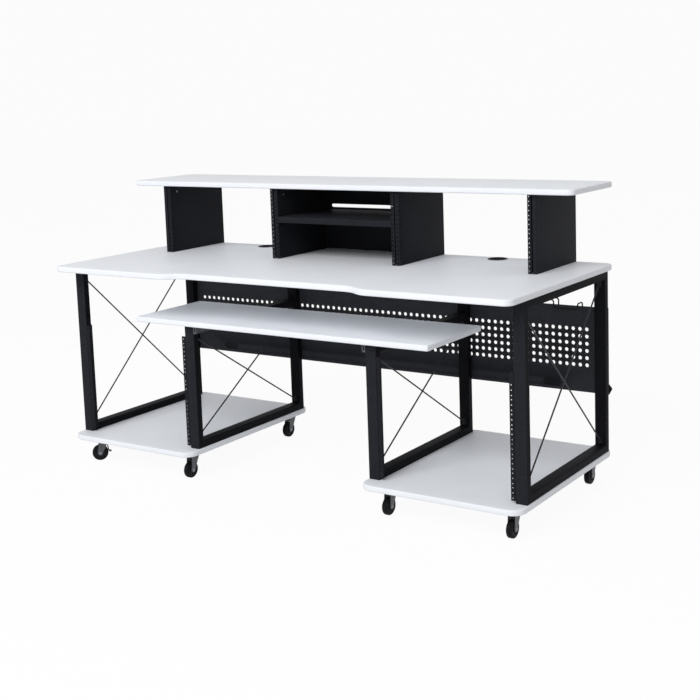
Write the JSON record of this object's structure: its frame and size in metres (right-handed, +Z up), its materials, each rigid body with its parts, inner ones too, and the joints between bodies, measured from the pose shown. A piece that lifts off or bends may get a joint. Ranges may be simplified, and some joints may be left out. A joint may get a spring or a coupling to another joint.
{
  "type": "studio desk",
  "caption": "Wide studio desk on casters with a raised equipment shelf, sliding keyboard tray, rack pedestals on cross-braced side frames and a perforated modesty panel.",
  "frame": {"origin": "middle of the desk's footprint, on the floor", "axes": "+X along the desk to the sitter's right, +Y from the front edge to the back, +Z up"},
  "size_m": [1.829, 0.762, 1.016],
  "materials": {
    "white_laminate": "satin white laminate over board",
    "black_powder_coat": "fine textured powder coat",
    "zinc_plate": "bright zinc plate",
    "grey_fork": "semi-gloss paint",
    "black_rubber": "hard matt tread",
    "black_plastic": "moulded"
  },
  "bodies": {
    "desk": {"desktop": "white_laminate", "top_shelf": "white_laminate", "bottom_shelf_left": "white_laminate", "bottom_shelf_right": "white_laminate", "grommet_left": "black_plastic", "grommet_right": "black_plastic", "hutch_upright_left_outer": "black_powder_coat", "hutch_upright_left_inner": "black_powder_coat", "hutch_upright_right_inner": "black_powder_coat", "hutch_upright_right_outer": "black_powder_coat", "hutch_middle_shelf": "black_powder_coat", "hutch_back_panel": "black_powder_coat", "modesty_panel": "black_powder_coat", "cable_rail_left": "black_powder_coat", "cable_rail_right": "black_powder_coat", "side_frame_left_outer": "black_powder_coat", "cross_brace_left_outer": "black_powder_coat", "rack_rail_left_outer": "black_powder_coat", "side_frame_left_inner": "black_powder_coat", "cross_brace_left_inner": "black_powder_coat", "rack_rail_left_inner": "black_powder_coat", "slide_fixed_left": "zinc_plate", "side_frame_right_outer": "black_powder_coat", "cross_brace_right_outer": "black_powder_coat", "rack_rail_right_outer": "black_powder_coat", "side_frame_right_inner": "black_powder_coat", "cross_brace_right_inner": "black_powder_coat", "rack_rail_right_inner": "black_powder_coat", "slide_fixed_right": "zinc_plate", "caster_front_left_outer_plate": "zinc_plate", "caster_rear_left_outer_plate": "zinc_plate", "caster_front_left_inner_plate": "zinc_plate", "caster_rear_left_inner_plate": "zinc_plate", "caster_front_right_outer_plate": "zinc_plate", "caster_rear_right_outer_plate": "zinc_plate", "caster_front_right_inner_plate": "zinc_plate", "caster_rear_right_inner_plate": "zinc_plate"},
    "tray": {"keyboard_tray": "white_laminate", "slide_inner_left": "zinc_plate", "slide_inner_right": "zinc_plate"},
    "slide_stage_left": {"slide_middle_left": "zinc_plate"},
    "slide_stage_right": {"slide_middle_right": "zinc_plate"},
    "caster_front_left_outer_swivel": {"caster_front_left_outer_fork": "grey_fork"},
    "caster_front_left_outer_roller": {"caster_front_left_outer_wheel": "black_rubber"},
    "caster_front_left_outer_pedal": {"caster_front_left_outer_brake_pedal": "grey_fork"},
    "caster_rear_left_outer_swivel": {"caster_rear_left_outer_fork": "grey_fork"},
    "caster_rear_left_outer_roller": {"caster_rear_left_outer_wheel": "black_rubber"},
    "caster_front_left_inner_swivel": {"caster_front_left_inner_fork": "grey_fork"},
    "caster_front_left_inner_roller": {"caster_front_left_inner_wheel": "black_rubber"},
    "caster_rear_left_inner_swivel": {"caster_rear_left_inner_fork": "grey_fork"},
    "caster_rear_left_inner_roller": {"caster_rear_left_inner_wheel": "black_rubber"},
    "caster_front_right_outer_swivel": {"caster_front_right_outer_fork": "grey_fork"},
    "caster_front_right_outer_roller": {"caster_front_right_outer_wheel": "black_rubber"},
    "caster_rear_right_outer_swivel": {"caster_rear_right_outer_fork": "grey_fork"},
    "caster_rear_right_outer_roller": {"caster_rear_right_outer_wheel": "black_rubber"},
    "caster_front_right_inner_swivel": {"caster_front_right_inner_fork": "grey_fork"},
    "caster_front_right_inner_roller": {"caster_front_right_inner_wheel": "black_rubber"},
    "caster_rear_right_inner_swivel": {"caster_rear_right_inner_fork": "grey_fork"},
    "caster_rear_right_inner_roller": {"caster_rear_right_inner_wheel": "black_rubber"}
  },
  "joints": [
    {"name": "tray_slide", "type": "slide", "parent": "desk", "child": "tray", "axis": [0, -1, 0], "range_m": [0, 0.25]},
    {"name": "slide_stage_left_slide", "type": "slide", "parent": "desk", "child": "slide_stage_left", "axis": [0, -1, 0], "range_m": [0, 0.125]},
    {"name": "slide_stage_right_slide", "type": "slide", "parent": "desk", "child": "slide_stage_right", "axis": [0, -1, 0], "range_m": [0, 0.125]},
    {"name": "caster_front_left_outer_swivel_hinge", "type": "hinge", "parent": "desk", "child": "caster_front_left_outer_swivel", "pos_m": [-0.8505, -0.249, 0.084], "axis": [0, 0, 1], "continuous": true},
    {"name": "caster_front_left_outer_axle_hinge", "type": "hinge", "parent": "caster_front_left_outer_swivel", "child": "caster_front_left_outer_roller", "pos_m": [-0.86181, -0.26031, 0.029], "axis": [0.7071, -0.7071, 0], "continuous": true},
    {"name": "caster_front_left_outer_pedal_hinge", "type": "hinge", "parent": "caster_front_left_outer_swivel", "child": "caster_front_left_outer_pedal", "pos_m": [-0.84343, -0.24193, 0.0664], "axis": [0.7071, -0.7071, 0], "range_deg": [-2, 12]},
    {"name": "caster_rear_left_outer_swivel_hinge", "type": "hinge", "parent": "desk", "child": "caster_rear_left_outer_swivel", "pos_m": [-0.8505, 0.324, 0.084], "axis": [0, 0, 1], "continuous": true},
    {"name": "caster_rear_left_outer_axle_hinge", "type": "hinge", "parent": "caster_rear_left_outer_swivel", "child": "caster_rear_left_outer_roller", "pos_m": [-0.8505, 0.308, 0.029], "axis": [1, 0, 0], "continuous": true},
    {"name": "caster_front_left_inner_swivel_hinge", "type": "hinge", "parent": "desk", "child": "caster_front_left_inner_swivel", "pos_m": [-0.4135, -0.249, 0.084], "axis": [0, 0, 1], "continuous": true},
    {"name": "caster_front_left_inner_axle_hinge", "type": "hinge", "parent": "caster_front_left_inner_swivel", "child": "caster_front_left_inner_roller", "pos_m": [-0.4135, -0.265, 0.029], "axis": [1, 0, 0], "continuous": true},
    {"name": "caster_rear_left_inner_swivel_hinge", "type": "hinge", "parent": "desk", "child": "caster_rear_left_inner_swivel", "pos_m": [-0.4135, 0.324, 0.084], "axis": [0, 0, 1], "continuous": true},
    {"name": "caster_rear_left_inner_axle_hinge", "type": "hinge", "parent": "caster_rear_left_inner_swivel", "child": "caster_rear_left_inner_roller", "pos_m": [-0.4135, 0.308, 0.029], "axis": [1, 0, 0], "continuous": true},
    {"name": "caster_front_right_outer_swivel_hinge", "type": "hinge", "parent": "desk", "child": "caster_front_right_outer_swivel", "pos_m": [0.8505, -0.249, 0.084], "axis": [0, 0, 1], "continuous": true},
    {"name": "caster_front_right_outer_axle_hinge", "type": "hinge", "parent": "caster_front_right_outer_swivel", "child": "caster_front_right_outer_roller", "pos_m": [0.8505, -0.265, 0.029], "axis": [1, 0, 0], "continuous": true},
    {"name": "caster_rear_right_outer_swivel_hinge", "type": "hinge", "parent": "desk", "child": "caster_rear_right_outer_swivel", "pos_m": [0.8505, 0.324, 0.084], "axis": [0, 0, 1], "continuous": true},
    {"name": "caster_rear_right_outer_axle_hinge", "type": "hinge", "parent": "caster_rear_right_outer_swivel", "child": "caster_rear_right_outer_roller", "pos_m": [0.8505, 0.308, 0.029], "axis": [1, 0, 0], "continuous": true},
    {"name": "caster_front_right_inner_swivel_hinge", "type": "hinge", "parent": "desk", "child": "caster_front_right_inner_swivel", "pos_m": [0.4135, -0.249, 0.084], "axis": [0, 0, 1], "continuous": true},
    {"name": "caster_front_right_inner_axle_hinge", "type": "hinge", "parent": "caster_front_right_inner_swivel", "child": "caster_front_right_inner_roller", "pos_m": [0.4135, -0.265, 0.029], "axis": [1, 0, 0], "continuous": true},
    {"name": "caster_rear_right_inner_swivel_hinge", "type": "hinge", "parent": "desk", "child": "caster_rear_right_inner_swivel", "pos_m": [0.4135, 0.324, 0.084], "axis": [0, 0, 1], "continuous": true},
    {"name": "caster_rear_right_inner_axle_hinge", "type": "hinge", "parent": "caster_rear_right_inner_swivel", "child": "caster_rear_right_inner_roller", "pos_m": [0.4135, 0.308, 0.029], "axis": [1, 0, 0], "continuous": true}
  ],
  "couplings": [
    {"joint": "slide_stage_left_slide", "follows": "tray_slide", "ratio": 0.5},
    {"joint": "slide_stage_right_slide", "follows": "tray_slide", "ratio": 0.5}
  ]
}
